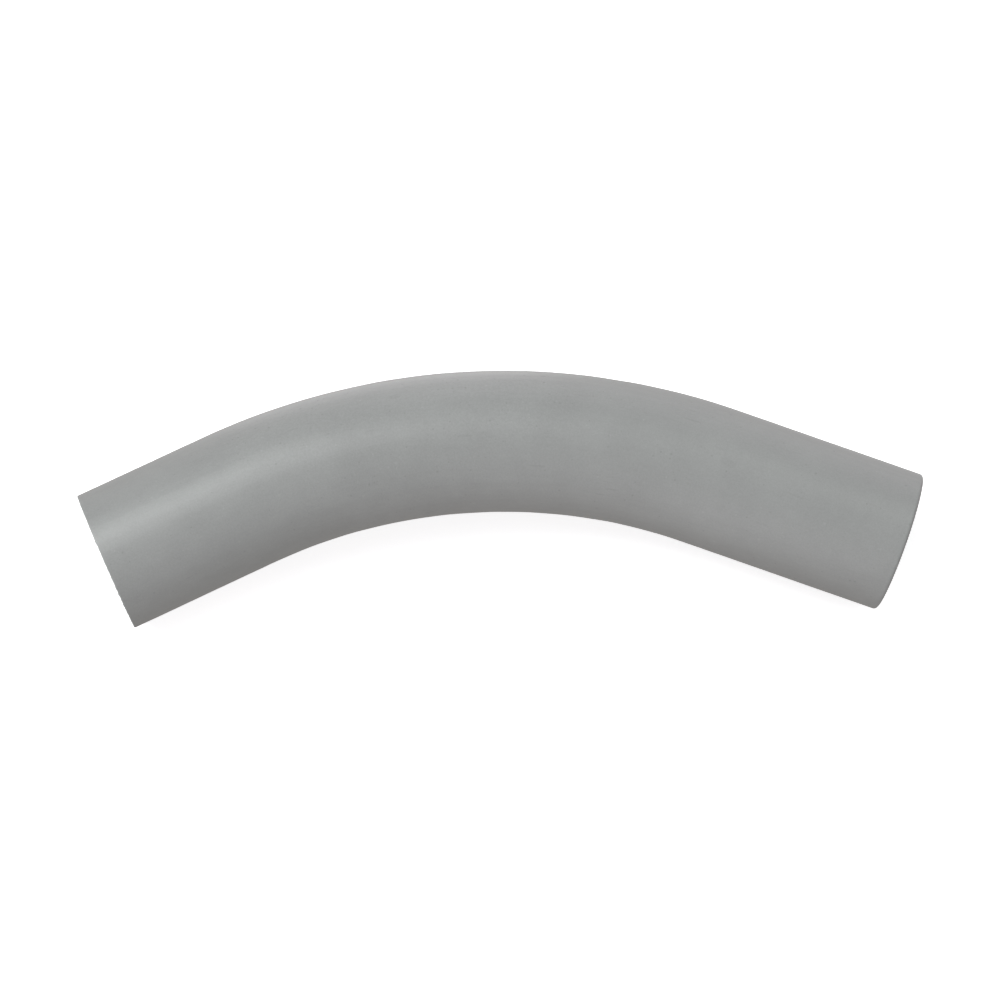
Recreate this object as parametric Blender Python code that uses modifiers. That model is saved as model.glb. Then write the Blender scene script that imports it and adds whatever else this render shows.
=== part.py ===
"""A plain-end 45 degree elbow of rigid PVC conduit, 1-1/2 inch trade size, Schedule 40.

Metres, +Z up. The elbow lies on its side, so its bend is level. The long leg runs along X
and opens towards +X, the outer side of the bend faces +Y, and the short leg opens halfway
between -X and -Y. The origin is at the bottom centre of the bounding box.
"""

import math

import bmesh
import bpy
from mathutils import Matrix, Vector

# Standard sizes of the conduit
OUTSIDE_DIAMETER = 0.04826
WALL = 0.00368
BEND_RADIUS = 0.20955  # to the centreline
BEND_ANGLE = math.radians(45)

# Straight lengths on either side of the bend, along the centreline
SHORT_LEG = 0.0487
LONG_LEG = 0.0674

# Heat bending flattens the section in the bend's plane and widens it as much across
OVALITY = 0.0084
OVAL_BLEND = 0.2  # share of the bend, at each end, over which the section changes

# The short end is a saw cut, a little out of square: shorter on the bend's outer side
SAW_CUT_TILT = math.radians(1.6)

# Roundings of the four rim edges
SAWN_OUTER_EDGE = 0.00025
SAWN_INNER_EDGE = 0.00025
FACTORY_OUTER_EDGE = 0.0011
FACTORY_INNER_EDGE = 0.0004
EDGE_SEGMENTS = 3

SIDES = 64
BEND_STEPS = 18
SAME_PLACE = 0.00001

GREY = (0.25, 0.256, 0.252, 1.0)
ROUGHNESS = 0.42

RADIUS = OUTSIDE_DIAMETER / 2
SHORT_SIDE = -BEND_ANGLE  # angle along the bend where the short leg starts
LONG_SIDE = 0.0


def remove_scene_objects():
    for obj in list(bpy.data.objects):
        bpy.data.objects.remove(obj)


def along(angle):
    """Direction of the centreline, from the short end to the long end."""
    return Vector((math.cos(angle), -math.sin(angle), 0))


def outward(angle):
    """Level direction away from the centre of the bend."""
    return Vector((math.sin(angle), math.cos(angle), 0))


def on_bend(angle):
    """A point of the centreline. The long leg starts at the world origin while it is built."""
    return BEND_RADIUS * (outward(angle) - outward(LONG_SIDE))


def short_end():
    return on_bend(SHORT_SIDE) - SHORT_LEG * along(SHORT_SIDE)


def long_end():
    return on_bend(LONG_SIDE) + LONG_LEG * along(LONG_SIDE)


def centreline():
    shares = [step / BEND_STEPS for step in range(BEND_STEPS + 1)]
    bend = [on_bend(SHORT_SIDE + share * BEND_ANGLE) for share in shares]
    return [short_end(), *bend, long_end()]


def make_outer_skin():
    """The conduit's outer surface, open at both ends."""
    curve = bpy.data.curves.new("conduit_path", "CURVE")
    curve.dimensions = "3D"
    curve.twist_mode = "Z_UP"
    curve.bevel_depth = RADIUS
    curve.bevel_resolution = SIDES // 2 - 2
    points = centreline()
    spline = curve.splines.new("POLY")
    spline.points.add(len(points) - 1)
    for control, point in zip(spline.points, points):
        control.co = (*point, 1)
    path = bpy.data.objects.new("conduit_path", curve)
    bpy.context.scene.collection.objects.link(path)
    graph = bpy.context.evaluated_depsgraph_get()
    skin = bpy.data.meshes.new_from_object(path.evaluated_get(graph))
    bpy.data.objects.remove(path)
    return skin


def ovality_at(angle):
    """How oval the section is at an angle along the bend: not at all in the legs."""
    depth = min(angle - SHORT_SIDE, LONG_SIDE - angle) / (BEND_ANGLE * OVAL_BLEND)
    share = min(max(depth, 0), 1)
    return OVALITY * share * share * (3 - 2 * share)


def flatten_bend(skin):
    centre = -BEND_RADIUS * outward(LONG_SIDE)
    for vertex in skin.vertices:
        arm = (vertex.co - centre).xy
        angle = math.atan2(arm.x, arm.y)
        oval = ovality_at(angle)
        if oval > 0:
            height = vertex.co.z
            reach = arm.length - BEND_RADIUS
            vertex.co = on_bend(angle) + reach * (1 - oval) * outward(angle)
            vertex.co.z = height * (1 + oval)


def make_wall(tube):
    """The tube's wall as a mesh, grown inwards from its outer skin."""
    wall = tube.modifiers.new("wall", "SOLIDIFY")
    wall.thickness = WALL
    wall.offset = -1
    wall.use_even_offset = True
    graph = bpy.context.evaluated_depsgraph_get()
    mesh = bpy.data.meshes.new_from_object(tube.evaluated_get(graph))
    tube.modifiers.remove(wall)
    return mesh


def finish_end(bm, weights, end, angle, outer_edge, inner_edge, tilt):
    """Marks one end's rim edges for rounding, then tilts the end's face by a saw cut."""
    ring = {v for v in bm.verts if abs((v.co - end).dot(along(angle))) < SAME_PLACE}
    for edge in bm.edges:
        if ring.issuperset(edge.verts):
            depths = [RADIUS - (v.co - end).length for v in edge.verts]
            if max(depths) < WALL / 2:
                edge[weights] = outer_edge / FACTORY_OUTER_EDGE
            elif min(depths) > WALL / 2:
                edge[weights] = inner_edge / FACTORY_OUTER_EDGE
    for vertex in ring:
        offset = (vertex.co - end).dot(outward(angle))
        vertex.co += offset * math.tan(tilt) * along(angle)


def finish_ends(mesh):
    bm = bmesh.new()
    bm.from_mesh(mesh)
    bmesh.ops.remove_doubles(bm, verts=bm.verts, dist=SAME_PLACE)
    weights = bm.edges.layers.float.new("bevel_weight_edge")
    finish_end(
        bm, weights, short_end(), SHORT_SIDE, SAWN_OUTER_EDGE, SAWN_INNER_EDGE, SAW_CUT_TILT
    )
    finish_end(
        bm, weights, long_end(), LONG_SIDE, FACTORY_OUTER_EDGE, FACTORY_INNER_EDGE, 0
    )
    bm.to_mesh(mesh)
    bm.free()


def round_rims(tube):
    rims = tube.modifiers.new("rim_edges", "BEVEL")
    rims.limit_method = "WEIGHT"
    rims.width = FACTORY_OUTER_EDGE
    rims.segments = EDGE_SEGMENTS


def put_origin_at_bottom_centre(tube):
    graph = bpy.context.evaluated_depsgraph_get()
    corners = [Vector(corner) for corner in tube.evaluated_get(graph).bound_box]
    low = Vector([min(corner[axis] for corner in corners) for axis in range(3)])
    high = Vector([max(corner[axis] for corner in corners) for axis in range(3)])
    middle = (low + high) / 2
    tube.data.transform(Matrix.Translation((-middle.x, -middle.y, -low.z)))


def make_grey_pvc():
    material = bpy.data.materials.new("grey_pvc")
    material.use_nodes = True
    shader = material.node_tree.nodes["Principled BSDF"]
    shader.inputs["Base Color"].default_value = GREY
    shader.inputs["Roughness"].default_value = ROUGHNESS
    shader.inputs["Metallic"].default_value = 0.0
    return material


def make_elbow_tube(collection):
    skin = make_outer_skin()
    flatten_bend(skin)
    tube = bpy.data.objects.new("elbow_tube", skin)
    collection.objects.link(tube)
    mesh = make_wall(tube)
    finish_ends(mesh)
    mesh.shade_smooth()
    mesh.set_sharp_from_angle(angle=math.radians(40))
    mesh.materials.append(make_grey_pvc())
    tube.data = mesh
    bpy.data.meshes.remove(skin)
    round_rims(tube)
    put_origin_at_bottom_centre(tube)


def main():
    remove_scene_objects()
    collection = bpy.data.collections.new("pvc_conduit_elbow")
    bpy.context.scene.collection.children.link(collection)
    make_elbow_tube(collection)


main()
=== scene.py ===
"""The looks of a plain-end 45 degree elbow of grey PVC conduit, lying on its side.

The frame is the CAD part's: metres, +Z up, the long leg along +X and the bend level.
"""

import math

import bpy
import numpy as np
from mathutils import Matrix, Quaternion, Vector


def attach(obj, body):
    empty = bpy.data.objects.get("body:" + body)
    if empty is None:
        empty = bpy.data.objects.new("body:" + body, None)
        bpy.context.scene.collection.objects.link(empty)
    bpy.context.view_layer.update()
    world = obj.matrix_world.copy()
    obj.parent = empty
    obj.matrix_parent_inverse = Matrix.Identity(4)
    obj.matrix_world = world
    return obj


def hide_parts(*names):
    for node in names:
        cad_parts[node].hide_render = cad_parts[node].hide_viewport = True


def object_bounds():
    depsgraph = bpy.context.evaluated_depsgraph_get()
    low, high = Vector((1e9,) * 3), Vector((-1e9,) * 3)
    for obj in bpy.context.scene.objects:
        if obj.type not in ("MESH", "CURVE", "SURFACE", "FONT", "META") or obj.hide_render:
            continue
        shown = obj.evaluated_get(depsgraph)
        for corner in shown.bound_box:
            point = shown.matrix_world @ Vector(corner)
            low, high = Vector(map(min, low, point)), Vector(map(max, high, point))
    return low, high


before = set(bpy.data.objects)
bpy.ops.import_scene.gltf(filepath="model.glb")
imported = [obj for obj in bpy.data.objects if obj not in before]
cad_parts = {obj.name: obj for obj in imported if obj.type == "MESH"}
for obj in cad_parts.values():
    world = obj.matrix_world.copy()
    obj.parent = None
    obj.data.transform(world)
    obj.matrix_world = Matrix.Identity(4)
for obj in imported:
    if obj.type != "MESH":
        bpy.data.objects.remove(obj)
cad_low, cad_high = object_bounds()

MM = 0.001

# The CAD part's own sizes
OUTSIDE_DIAMETER = 0.04826
WALL = 0.00368
BEND_RADIUS = 0.20955
BEND_ANGLE = math.radians(45)
SHORT_LEG = 0.0487
LONG_LEG = 0.0674
OVALITY = 0.0084
OVAL_BLEND = 0.2
SAW_CUT_TILT = math.radians(1.6)
SAWN_EDGE = 0.25 * MM
FACTORY_OUTER_EDGE = 1.1 * MM
FACTORY_INNER_EDGE = 0.4 * MM

RADIUS = OUTSIDE_DIAMETER / 2
BEND_LENGTH = BEND_RADIUS * BEND_ANGLE
LENGTH = SHORT_LEG + BEND_LENGTH + LONG_LEG

# How finely the visible tube is meshed
AROUND = 256
OUTER_STEP = 1.05 * MM
BORE_STEP = 5 * MM
FACE_STEPS = 10
EDGE_STEPS = 5
EDGE_SUPPORT = 0.12 * MM

# Unevenness of the real wall
SEED = 45
DIE_LINES = range(3, 60)  # waves around the tube
DIE_LINE_HEIGHT = 0.012 * MM
DIE_LINE_TWIST = 4  # radians a metre
BEND_RIPPLES = 14
BEND_RIPPLE_HEIGHT = 0.016 * MM
BEND_RIPPLE_LENGTHS = (11 * MM, 42 * MM)
BEND_RIPPLE_WAVES = (1, 6)  # around the tube, from 1 to 5
LEG_RIPPLE_SHARE = 0.35
LEG_RIPPLE_FADE = (0.5, 1.3)  # in lengths of the leg, from its end
DENTS = 16
DENT_DEPTHS = (0.02 * MM, 0.06 * MM)
DENT_RADII = (1.2 * MM, 3.2 * MM)
DENT_PLACES = (0.03, 0.97)  # as shares of the tube's length
BORE_OFF_CENTRE = 0.07 * MM
BORE_OFF_CENTRE_SIDE = 1  # radians around the tube
SAW_MARK_HEIGHT = 0.04 * MM
SAW_MARK_PITCH = 1.7 * MM
SAW_MARK_WANDER = 1.4  # radians of a ridge
SAW_MARK_WANDER_LENGTH = 3 * MM
SAW_BURR_HEIGHT = 0.09 * MM
SAW_BURR_WIDTH = 2.5 * SAWN_EDGE

# Where the camera stands, looking at a point inside the bend
CAMERA_TARGET = Vector((0.0009, 0.0129, 0.0243))
CAMERA_AZIMUTH = math.radians(7.13)
CAMERA_ELEVATION = math.radians(80.36)
CAMERA_ROLL = math.radians(12.27)
CAMERA_DISTANCE = 1.0554
CAMERA_LENS = 112.35

# The stage and its lights
STAGE_RADIUS = 4
FLOOR_GLOW = 0.56
BACKDROP_GLOW = 1
# The azimuth and elevation, in degrees, that each light of the world is strongest from, the
# cosines of the angle from there between which it grows from none to full, and its colour
WORLD_LIGHT = (
    (180, 0, (0, 1), (0.668, 0.634, 0.669)),
    (60, 0, (0, 1), (0.211, 0.207, 0.203)),
    (0, 45, (0, 1), (0.597, 0.602, 0.612)),
    (0, -90, (-0.05, 0.05), (0.296, 0.281, 0.263)),
)
ELBOW = (0, 0, 0.024)
BEND_BACK = (-0.045, 0.025, 0.024)
LONG_LEG_BACK = (0.1, 0.045, 0.024)
FAR, NEAR = 1.6, 0.35
# Name, what it lights, azimuth and elevation in degrees, distance, size, power and colour
SOFTBOXES = (
    ("key", ELBOW, 255, 50, FAR, 0.8, 12.8, (0.977, 1.023, 0.999)),
    ("high", ELBOW, 250, 66, FAR, 0.8, 5.0, (1, 1, 1)),
    ("left", ELBOW, 337.5, 20, FAR, 0.8, 7.8, (1.051, 0.954, 0.995)),
    ("behind", ELBOW, 150, 50, FAR, 0.8, 3.3, (0.984, 1.037, 0.978)),
    ("low_behind", ELBOW, 202, 8, FAR, 0.45, 1.15, (1, 1, 1)),
    ("bend_rim", BEND_BACK, 207, -35, NEAR, 0.25, 0.135, (1.01, 0.98, 1.01)),
    ("long_leg_rim", LONG_LEG_BACK, 180, 10, NEAR, 0.25, 0.08, (1, 1, 1)),
)

PVC = (0.250, 0.256, 0.252)
PVC_IOR = 1.53

# Finishes of the wall's surfaces, in the order of the tube's materials
OUTSIDE, FACTORY_FACE, BORE, SAWN_FACE = range(4)


# ---------------------------------------------------------------- shape


def smooth_step(value, low, high):
    share = np.clip((value - low) / (high - low), 0, 1)
    return share * share * (3 - 2 * share)


def straight_side(start, end, steps):
    """Points from start up to but not including end, with a close one beside each."""
    start, end = np.array(start), np.array(end)
    support = EDGE_SUPPORT / np.linalg.norm(end - start)
    shares = [0, *np.linspace(support, 1 - support, steps)]
    return [tuple(start + share * (end - start)) for share in shares]


def rounded_edge(centre, size, first):
    """A quarter turn from the direction first, up to but not including its end."""
    angles = first + np.arange(EDGE_STEPS) / EDGE_STEPS * math.pi / 2
    return [(centre[0] + size * math.sin(a), centre[1] - size * math.cos(a)) for a in angles]


def wall_outline():
    """The wall cut along the tube: (distance from the short end, depth below the skin,
    finish of the surface that starts there), clockwise from the skin's short end."""
    out, inn, saw = FACTORY_OUTER_EDGE, FACTORY_INNER_EDGE, SAWN_EDGE
    end = LENGTH
    sides = [
        (OUTSIDE, straight_side((saw, 0), (end - out, 0), round(LENGTH / OUTER_STEP))),
        (OUTSIDE, rounded_edge((end - out, out), out, 0)),
        (FACTORY_FACE, straight_side((end, out), (end, WALL - inn), FACE_STEPS)),
        (FACTORY_FACE, rounded_edge((end - inn, WALL - inn), inn, math.pi / 2)),
        (BORE, straight_side((end - inn, WALL), (saw, WALL), round(LENGTH / BORE_STEP))),
        (SAWN_FACE, rounded_edge((saw, WALL - saw), saw, math.pi)),
        (SAWN_FACE, straight_side((0, WALL - saw), (0, saw), FACE_STEPS)),
        (SAWN_FACE, rounded_edge((saw, saw), saw, 1.5 * math.pi)),
    ]
    return [(*point, finish) for finish, points in sides for point in points]


def die_lines(rng, run, turn):
    """Fine ridges left along the tube by the extrusion die."""
    height = 0
    for count in DIE_LINES:
        phase, twist = rng.uniform(0, 2 * math.pi), rng.normal(0, DIE_LINE_TWIST)
        share = rng.normal(0, 1) / math.sqrt(len(DIE_LINES))
        height = height + share * np.cos(count * turn + phase + twist * run)
    return DIE_LINE_HEIGHT * height


def bend_ripples(rng, run, turn):
    """Slow waves where the hot wall was bent, and fainter ones in the legs."""
    height = 0
    for _ in range(BEND_RIPPLES):
        waves = rng.integers(*BEND_RIPPLE_WAVES)
        pitch = rng.uniform(*BEND_RIPPLE_LENGTHS) * rng.choice((-1, 1))
        phase = rng.uniform(0, 2 * math.pi)
        height = height + np.cos(waves * turn + 2 * math.pi * run / pitch + phase)
    into_bend = smooth_step(run / SHORT_LEG, *LEG_RIPPLE_FADE)
    out_of_bend = smooth_step((LENGTH - run) / LONG_LEG, *LEG_RIPPLE_FADE)
    share = LEG_RIPPLE_SHARE + (1 - LEG_RIPPLE_SHARE) * into_bend * out_of_bend
    return BEND_RIPPLE_HEIGHT * share * height / math.sqrt(BEND_RIPPLES / 2)


def dents(rng, run, turn):
    """A few shallow knocks, scattered over the skin."""
    height = 0
    for _ in range(DENTS):
        place, side = rng.uniform(*DENT_PLACES) * LENGTH, rng.uniform(-math.pi, math.pi)
        depth, radius = rng.uniform(*DENT_DEPTHS), rng.uniform(*DENT_RADII)
        around = RADIUS * (np.mod(turn - side + math.pi, 2 * math.pi) - math.pi)
        distance = ((run - place) ** 2 + around**2) / radius**2
        height = height - depth * np.exp(-2 * distance)
    return height


def saw_marks(rng, height_up, run, depth):
    """Ridges across the sawn face, and the ragged burr at its outer edge."""
    on_face = smooth_step(-run, -SAWN_EDGE, 0)
    wander = SAW_MARK_WANDER * np.sin(height_up / SAW_MARK_WANDER_LENGTH)
    ridges = np.cos(2 * math.pi * height_up / SAW_MARK_PITCH + wander)
    ragged = rng.normal(0, 1, run.shape)
    ragged = (ragged + np.roll(ragged, 1, 1) + np.roll(ragged, -1, 1)) / 2
    at_edge = smooth_step(-depth, -SAW_BURR_WIDTH, 0)
    return on_face * (SAW_MARK_HEIGHT * ridges + SAW_BURR_HEIGHT * at_edge * np.abs(ragged))


def bent(run, reach, height):
    """Where a point of the straight tube is once the tube is bent. run is the distance from
    the short end, reach the level distance from the centreline and height the upright one."""
    angle = np.clip((run - SHORT_LEG) / BEND_RADIUS, 0, BEND_ANGLE) - BEND_ANGLE
    in_leg = np.minimum(run - SHORT_LEG, 0) + np.maximum(run - SHORT_LEG - BEND_LENGTH, 0)
    depth = np.minimum(angle + BEND_ANGLE, -angle) / (BEND_ANGLE * OVAL_BLEND)
    oval = OVALITY * smooth_step(depth, 0, 1)
    out = BEND_RADIUS + reach * (1 - oval)
    x = out * np.sin(angle) + in_leg * np.cos(angle)
    y = out * np.cos(angle) - in_leg * np.sin(angle) - BEND_RADIUS
    return np.stack([x, y, height * (1 + oval)], axis=-1)


def tube_points():
    """Every vertex of the bent tube, its place on the straight tube, and the finishes."""
    rng = np.random.default_rng(SEED)
    run, depth, finish = np.array(wall_outline()).T
    turn = np.arange(AROUND) / AROUND * 2 * math.pi
    run, turn = np.meshgrid(run, turn, indexing="ij")
    depth = depth[:, None] + 0 * turn
    skin = 1 - smooth_step(depth, 0, WALL)
    uneven = die_lines(rng, run, turn) + bend_ripples(rng, run, turn)
    radius = RADIUS - depth + uneven + skin * dents(rng, run, turn)
    radius = radius + (1 - skin) * BORE_OFF_CENTRE * np.cos(turn - BORE_OFF_CENTRE_SIDE)
    reach, height = radius * np.cos(turn), radius * np.sin(turn)
    straight = np.stack([reach, height, run], axis=-1)
    cut = reach * math.tan(SAW_CUT_TILT) - saw_marks(rng, height, run, depth)
    cut = cut * np.clip(1 - run / SHORT_LEG, 0, 1)
    return bent(run + cut, reach, height), straight, finish.astype(int)


def make_tube(materials):
    """The closed mesh of the tube, in the CAD part's place. It keeps each point's place on
    the straight tube for the materials, which are in the order of the finishes."""
    points, straight, finish = tube_points()
    middle_height = (cad_low[2] + cad_high[2]) / 2
    long_leg_start = (cad_high[0] - LONG_LEG, cad_high[1] - RADIUS, middle_height)
    index = np.arange(len(finish) * AROUND).reshape(-1, AROUND)
    after, beside = np.roll(index, -1, 0), np.roll(index, -1, 1)
    across = np.roll(after, -1, 1)
    faces = np.stack([index, beside, across, after], axis=-1).reshape(-1, 4)
    mesh = bpy.data.meshes.new("elbow")
    mesh.from_pydata((points + long_leg_start).reshape(-1, 3), [], faces)
    place = mesh.attributes.new("straight", "FLOAT_VECTOR", "POINT")
    place.data.foreach_set("vector", straight.astype(np.float32).ravel())
    for material in materials:
        mesh.materials.append(material)
    mesh.polygons.foreach_set("material_index", np.repeat(finish, AROUND))
    mesh.shade_smooth()
    tube = bpy.data.objects.new("elbow", mesh)
    bpy.context.scene.collection.objects.link(tube)
    return tube


# ---------------------------------------------------------------- materials


class Nodes:
    """Adds nodes to one material. An input is a number, a colour or another node's output."""

    def __init__(self, name):
        self.material = bpy.data.materials.new(name)
        self.material.use_nodes = True
        self.tree = self.material.node_tree
        self.shader = self.tree.nodes["Principled BSDF"]

    def put(self, socket, value):
        if isinstance(value, bpy.types.NodeSocket):
            self.tree.links.new(value, socket)
        else:
            socket.default_value = value

    def add(self, kind, inputs, output=0, **settings):
        node = self.tree.nodes.new("ShaderNode" + kind)
        for name, value in settings.items():
            setattr(node, name, value)
        for key, value in inputs.items():
            self.put(node.inputs[key], value)
        return node.outputs[output]

    def math(self, operation, *values):
        return self.add("Math", dict(enumerate(values)), operation=operation)

    def place(self, stretch=(1, 1, 1)):
        """The place on the straight tube, in millimetres, squeezed along chosen axes."""
        metres = self.add("Attribute", {}, "Vector", attribute_name="straight")
        scale = tuple(share / MM for share in stretch)
        return self.add("VectorMath", {0: metres, 1: scale}, operation="MULTIPLY")

    def noise(self, place, size, detail=2, roughness=0.5):
        """Noise about 0.5, with features of about that size in millimetres."""
        inputs = {"Vector": place, "Scale": 1 / size, "Detail": detail, "Roughness": roughness}
        return self.add("TexNoise", inputs, "Fac")

    def spread(self, value, low, high, to_low=0, to_high=1):
        """Value rescaled smoothly from one range to another and kept inside it."""
        limits = {"From Min": low, "From Max": high, "To Min": to_low, "To Max": to_high}
        inputs = {"Value": value, **limits}
        return self.add("MapRange", inputs, interpolation_type="SMOOTHSTEP")

    def vary(self, noise, amount, about=0, reach=0.3):
        """From about - amount to about + amount, as the noise goes from reach below 0.5 to
        reach above it."""
        return self.spread(noise, 0.5 - reach, 0.5 + reach, about - amount, about + amount)

    def times(self, value, factor):
        return self.math("MULTIPLY", value, factor)

    def spots(self, place, size, share, radius):
        """Up to 1 inside round spots, in some of the cells of that size, and 0 outside.
        share is the part of the cells with a spot, and radius is in cells."""
        inputs = {"Vector": place, "Scale": 1 / size}
        distance = self.add("TexVoronoi", inputs, "Distance")
        colour = self.add("TexVoronoi", inputs, "Color")
        draws = [self.add("SeparateColor", {0: colour}, name) for name in ("Red", "Green", "Blue")]
        chosen = self.math("LESS_THAN", draws[0], share)
        edge = self.spread(draws[1], 0, 1, radius / 2, radius)
        inside = self.math("SUBTRACT", 1, self.math("DIVIDE", distance, edge))
        depth = self.spread(inside, 0, 0.5)
        strength = self.spread(draws[2], 0, 1, to_low=0.3)
        return self.times(self.times(chosen, depth), strength)

    def total(self, *values):
        result = values[0]
        for value in values[1:]:
            result = self.math("ADD", result, value)
        return result

    def bump(self, height, distance):
        return self.add("Bump", {"Height": height, "Distance": distance})

    def finish(self, colour, roughness, normal):
        self.put(self.shader.inputs["Base Color"], colour)
        self.put(self.shader.inputs["Roughness"], roughness)
        self.put(self.shader.inputs["Normal"], normal)
        self.shader.inputs["IOR"].default_value = PVC_IOR
        return self.material

    def tinted(self, colour, brightness):
        """A colour times a brightness that varies over the surface."""
        grey = self.add("CombineXYZ", {0: brightness, 1: brightness, 2: brightness})
        return self.add("VectorMath", {0: colour, 1: grey}, operation="MULTIPLY")


def make_outside():
    """Satin grey skin: grain, faint lines along the tube, clouding, specks and smears."""
    n = Nodes("grey_pvc_outside")
    place = n.place()
    along = n.add("SeparateXYZ", {0: place}, "Z")
    reach = n.add("SeparateXYZ", {0: place}, "X")
    grain = n.noise(place, size=0.55, detail=3, roughness=0.65)
    lines = n.noise(n.place((1, 1, 0.02)), size=0.8, detail=3, roughness=0.6)
    clouds = n.noise(place, size=15, detail=3, roughness=0.55)
    small_clouds = n.noise(place, size=4)
    mottle = n.noise(place, size=1.1)

    # Specks gather in patches, mostly over the outer side of the bend
    into_bend = n.spread(along, 30, 70)
    out_of_bend = n.spread(along, 190, 140)
    outer_side = n.spread(reach, -12, 12, to_low=0.35)
    bend = n.times(n.times(into_bend, out_of_bend), outer_side)
    patches = n.spread(n.noise(place, size=9), 0.42, 0.66)
    gathered = n.times(patches, n.spread(bend, 0, 1, to_low=0.25, to_high=1.9))
    specks = n.spots(place, size=1.9, share=n.total(gathered, 0.15), radius=0.27)
    pale_specks = n.spots(place, size=2.3, share=n.total(gathered, 0.2), radius=0.26)
    smudges = n.spots(n.place((0.8, 0.8, 0.45)), size=10, share=0.22, radius=0.15)
    scuffs = n.spots(n.place((1, 1, 0.35)), size=5, share=n.times(gathered, 0.18), radius=0.11)
    smears = n.spots(n.place((1, 1, 0.15)), size=3.5, share=0.75, radius=0.16)
    marks = n.total(
        n.times(specks, -0.14),
        n.times(smears, -0.11),
        n.times(smudges, -0.07),
        n.times(scuffs, -0.2),
    )
    brightness = n.total(
        n.vary(grain, 0.044, about=1),
        n.vary(lines, 0.009, reach=0.25),
        n.vary(clouds, 0.022, reach=0.2),
        n.vary(small_clouds, 0.01, reach=0.2),
        n.times(n.vary(mottle, 0.024, reach=0.2), n.spread(bend, 0, 1, to_low=0.5)),
        n.times(pale_specks, 0.08),
        marks,
    )
    roughness = n.total(
        n.vary(grain, 0.05, about=0.39),
        n.vary(clouds, 0.03, reach=0.2),
        n.times(marks, -0.5),
    )
    height = n.total(n.times(lines, 0.25), n.times(marks, 2), grain)
    return n.finish(n.tinted(PVC, brightness), roughness, n.bump(height, 0.022 * MM))


def make_bore():
    """The inside of the tube: plainer and a little darker, with lines along it and dust."""
    n = Nodes("grey_pvc_bore")
    place = n.place()
    grain = n.noise(place, size=0.7, detail=3, roughness=0.6)
    lines = n.noise(n.place((1, 1, 0.015)), size=1.1, detail=3, roughness=0.6)
    dust = n.spots(place, size=2.4, share=0.25, radius=0.16)
    brightness = n.total(
        n.vary(grain, 0.04, about=0.93),
        n.vary(lines, 0.03, reach=0.25),
        n.times(dust, 0.12),
    )
    roughness = n.spread(n.total(grain, lines), 0.5, 1.5, to_low=0.32, to_high=0.5)
    height = n.total(n.times(grain, 0.6), lines)
    return n.finish(n.tinted(PVC, brightness), roughness, n.bump(height, 0.03 * MM))


def make_cut_face(name, shade, lines_place, line_size, matt):
    """A matt cut through the wall, with the cutter's lines and a torn, paler grain. shade is
    its brightness next to the skin's, and matt its roughness."""
    n = Nodes(name)
    place = n.place()
    grain = n.noise(place, size=0.35, detail=4, roughness=0.65)
    lines = n.noise(lines_place(n), line_size, detail=3, roughness=0.7)
    chalk = n.spread(n.noise(place, size=1.6, detail=3), 0.45, 0.7)
    brightness = n.total(
        n.vary(grain, 0.08, about=shade),
        n.vary(lines, 0.07, reach=0.25),
        n.times(chalk, 0.16),
    )
    roughness = n.spread(n.total(grain, lines), 0.5, 1.5, matt - 0.08, matt + 0.08)
    height = n.total(n.times(grain, 0.5), lines)
    return n.finish(n.tinted(PVC, brightness), roughness, n.bump(height, 0.06 * MM))


def straight_cuts(n):
    """Runs level across the tube's end, as the saw went."""
    return n.place((0.03, 1, 0.2))


def round_cuts(n):
    """Rings round the tube's axis, as a turning cutter leaves them."""
    level = n.place((1, 1, 0))
    radius = n.add("VectorMath", {0: level}, "Value", operation="LENGTH")
    return n.add("CombineXYZ", {0: radius})


def make_stage_material(name, glow):
    """Pale, faintly grained paper that also glows a little, so that it stays near white."""
    n = Nodes(name)
    grain = n.add("TexNoise", {"Scale": 30, "Detail": 3}, "Fac")
    pale = n.vary(grain, 0.01, about=0.85)
    colour = n.add("CombineColor", {0: pale, 1: pale, 2: pale})
    n.shader.inputs["Emission Color"].default_value = (1, 1, 1, 1)
    n.shader.inputs["Emission Strength"].default_value = glow
    return n.finish(colour, n.vary(grain, 0.05, about=0.8), n.bump(grain, 0.01 * MM))


# ---------------------------------------------------------------- stage


def show_only_to_camera(obj):
    """The stage takes shadows, but neither lights the object nor shows in its gloss."""
    obj.visible_diffuse = False
    obj.visible_glossy = False
    obj.visible_shadow = False


def make_floor():
    bpy.ops.mesh.primitive_plane_add(size=2 * STAGE_RADIUS)
    floor = bpy.context.object
    floor.name = "floor"
    floor.data.materials.append(make_stage_material("pale_floor", FLOOR_GLOW))
    show_only_to_camera(floor)


def make_backdrop():
    bpy.ops.mesh.primitive_uv_sphere_add(segments=64, ring_count=32, radius=STAGE_RADIUS)
    backdrop = bpy.context.object
    backdrop.name = "backdrop"
    backdrop.data.materials.append(make_stage_material("pale_backdrop", BACKDROP_GLOW))
    backdrop.data.shade_smooth()
    show_only_to_camera(backdrop)


def direction(azimuth, elevation):
    """Unit vector towards a viewer at that azimuth and elevation. Azimuth 0 is towards -Y."""
    level = math.cos(elevation)
    return Vector((math.sin(azimuth) * level, -math.cos(azimuth) * level, math.sin(elevation)))


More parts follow.
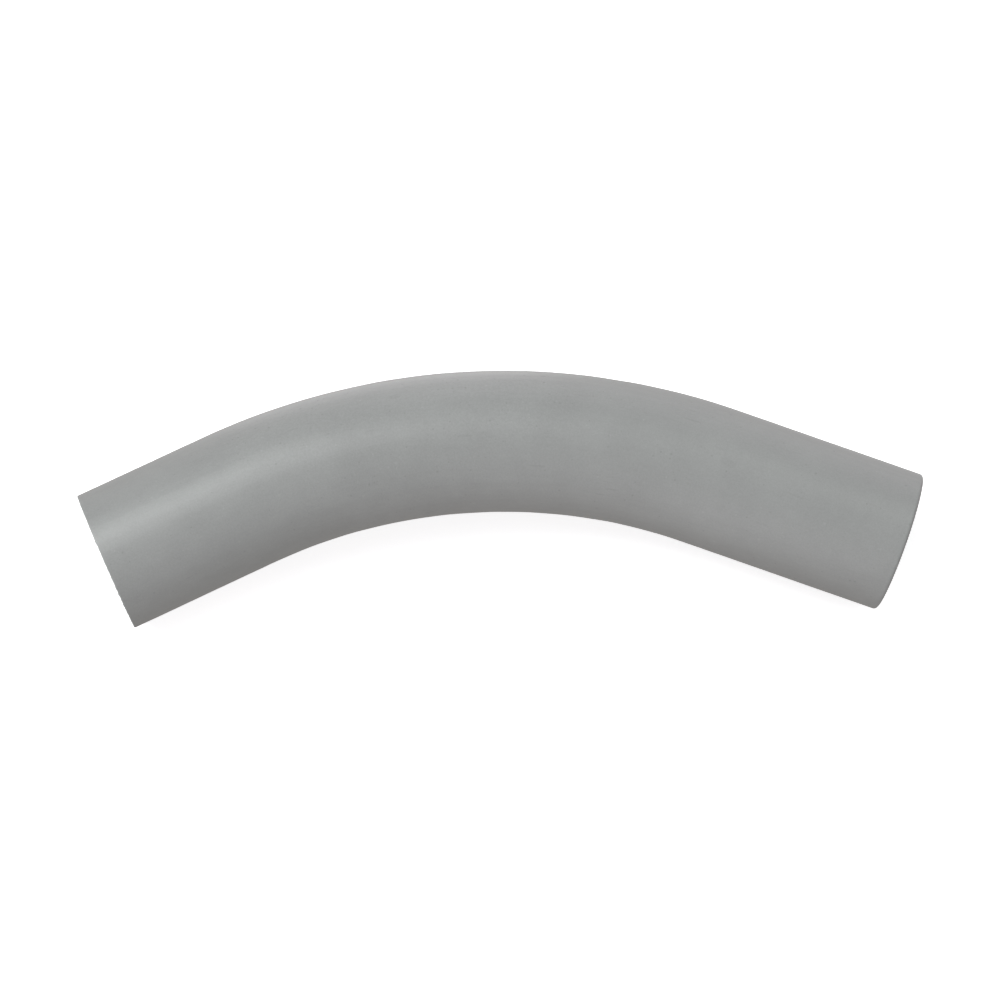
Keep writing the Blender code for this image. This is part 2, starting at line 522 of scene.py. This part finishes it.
def make_world():
    """Soft light that is strongest from behind and above, and weak from below."""
    world = bpy.data.worlds.new("studio")
    bpy.context.scene.world = world
    world.use_nodes = True
    tree = world.node_tree
    towards = tree.nodes.new("ShaderNodeTexCoord").outputs["Generated"]
    total = None
    for azimuth, elevation, fade, colour in WORLD_LIGHT:
        cosine = tree.nodes.new("ShaderNodeVectorMath")
        cosine.operation = "DOT_PRODUCT"
        tree.links.new(towards, cosine.inputs[0])
        cosine.inputs[1].default_value = direction(math.radians(azimuth), math.radians(elevation))
        share = tree.nodes.new("ShaderNodeMapRange")
        share.inputs["From Min"].default_value, share.inputs["From Max"].default_value = fade
        tree.links.new(cosine.outputs["Value"], share.inputs["Value"])
        light = tree.nodes.new("ShaderNodeVectorMath")
        light.operation = "SCALE"
        light.inputs[0].default_value = colour
        tree.links.new(share.outputs["Result"], light.inputs["Scale"])
        both = tree.nodes.new("ShaderNodeVectorMath")
        both.inputs[0].default_value = (0, 0, 0)
        if total:
            tree.links.new(total, both.inputs[0])
        tree.links.new(light.outputs["Vector"], both.inputs[1])
        total = both.outputs["Vector"]
    tree.links.new(total, tree.nodes["Background"].inputs["Color"])


def make_softbox(name, target, azimuth, elevation, distance, size, power, colour):
    """A square lamp, out of the camera's sight, that faces its target."""
    light = bpy.data.lights.new(name, "AREA")
    light.shape = "SQUARE"
    light.size = size
    light.energy = power
    light.color = colour
    lamp = bpy.data.objects.new(name, light)
    bpy.context.scene.collection.objects.link(lamp)
    away = direction(math.radians(azimuth), math.radians(elevation))
    lamp.location = Vector(target) + distance * away
    lamp.rotation_mode = "QUATERNION"
    lamp.rotation_quaternion = (-away).to_track_quat("-Z", "Y")
    lamp.visible_camera = False


def make_camera():
    data = bpy.data.cameras.new("camera")
    data.lens = CAMERA_LENS
    camera = bpy.data.objects.new("camera", data)
    bpy.context.scene.collection.objects.link(camera)
    away = direction(CAMERA_AZIMUTH, CAMERA_ELEVATION)
    camera.location = CAMERA_TARGET + CAMERA_DISTANCE * away
    camera.rotation_mode = "QUATERNION"
    upright = (-away).to_track_quat("-Z", "Y")
    camera.rotation_quaternion = upright @ Quaternion((0, 0, 1), CAMERA_ROLL)
    bpy.context.scene.camera = camera


tube = make_tube(
    [
        make_outside(),
        make_cut_face("grey_pvc_factory_face", 1.05, round_cuts, line_size=0.35, matt=0.5),
        make_bore(),
        make_cut_face("grey_pvc_sawn_face", 1.22, straight_cuts, line_size=0.45, matt=0.65),
    ]
)
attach(tube, "root")
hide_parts("elbow_tube")

make_floor()
make_backdrop()
make_world()
for softbox in SOFTBOXES:
    make_softbox(*softbox)
make_camera()
bpy.context.scene.view_settings.view_transform = "Standard"
